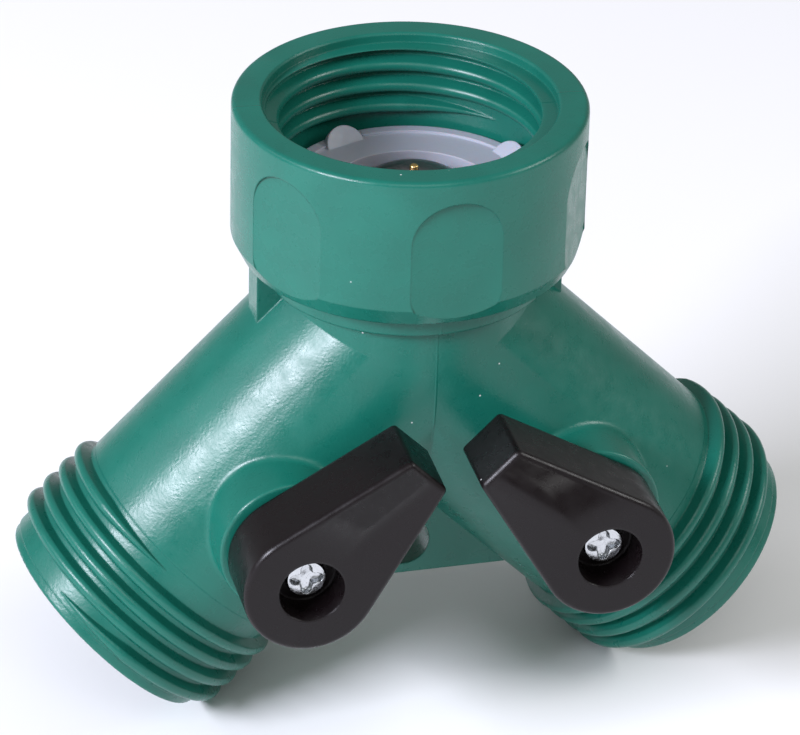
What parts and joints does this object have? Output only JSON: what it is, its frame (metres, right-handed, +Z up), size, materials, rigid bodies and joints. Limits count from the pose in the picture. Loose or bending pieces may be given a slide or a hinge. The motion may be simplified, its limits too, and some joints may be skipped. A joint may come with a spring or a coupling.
{
  "type": "hose splitter",
  "caption": "Two-way garden hose splitter: a swivelling threaded inlet with a screened washer feeds two angled threaded outlets, each with a lever ball valve.",
  "frame": {"origin": "centre of the inlet's rim, on the inlet's axis", "axes": "+Z up out of the inlet, X across the two outlets, levers on the -Y side"},
  "size_m": [0.076, 0.0404, 0.0617],
  "materials": {
    "body": "moulded green plastic, fine grain",
    "nut": "moulded green plastic, smooth",
    "washer": "pale translucent vinyl",
    "screen": "fine woven steel mesh",
    "button": "polished",
    "sleeve": "moulded black plastic",
    "lever": "satin black-brown plastic",
    "screw": "zinc plated",
    "ball": "polished white plastic",
    "seat": "white low-friction plastic",
    "retainer": "moulded black plastic",
    "stem": "moulded white plastic",
    "seal": "black nitrile rubber"
  },
  "bodies": {
    "splitter": {"y_body": "body", "swivel_sleeve": "sleeve", "neck_seal": "seal", "upstream_seat_left": "seat", "downstream_seat_left": "seat", "upstream_seat_right": "seat", "downstream_seat_right": "seat", "seat_retainer_left": "retainer", "seat_retainer_right": "retainer", "stem_washer_left": "seat", "stem_washer_right": "seat"},
    "inlet_coupling": {"coupling_nut": "nut", "hose_washer": "washer", "filter_screen": "screen", "screen_button": "button"},
    "left_valve": {"lever_left": "lever", "lever_screw_left": "screw", "stem_left": "stem", "ball_left": "ball", "stem_seal_inner_left": "seal", "stem_seal_outer_left": "seal"},
    "right_valve": {"lever_right": "lever", "lever_screw_right": "screw", "stem_right": "stem", "ball_right": "ball", "stem_seal_inner_right": "seal", "stem_seal_outer_right": "seal"}
  },
  "joints": [
    {"name": "inlet_swivel", "type": "hinge", "parent": "splitter", "child": "inlet_coupling", "pos_m": [0, 0, 0], "axis": [0, 0, 1], "continuous": true},
    {"name": "left_lever", "type": "hinge", "parent": "splitter", "child": "left_valve", "pos_m": [-0.01443, 0, -0.03812], "axis": [0, -1, 0], "range_deg": [0, 90]},
    {"name": "right_lever", "type": "hinge", "parent": "splitter", "child": "right_valve", "pos_m": [0.01443, 0, -0.03812], "axis": [0, 1, 0], "range_deg": [0, 90]}
  ]
}
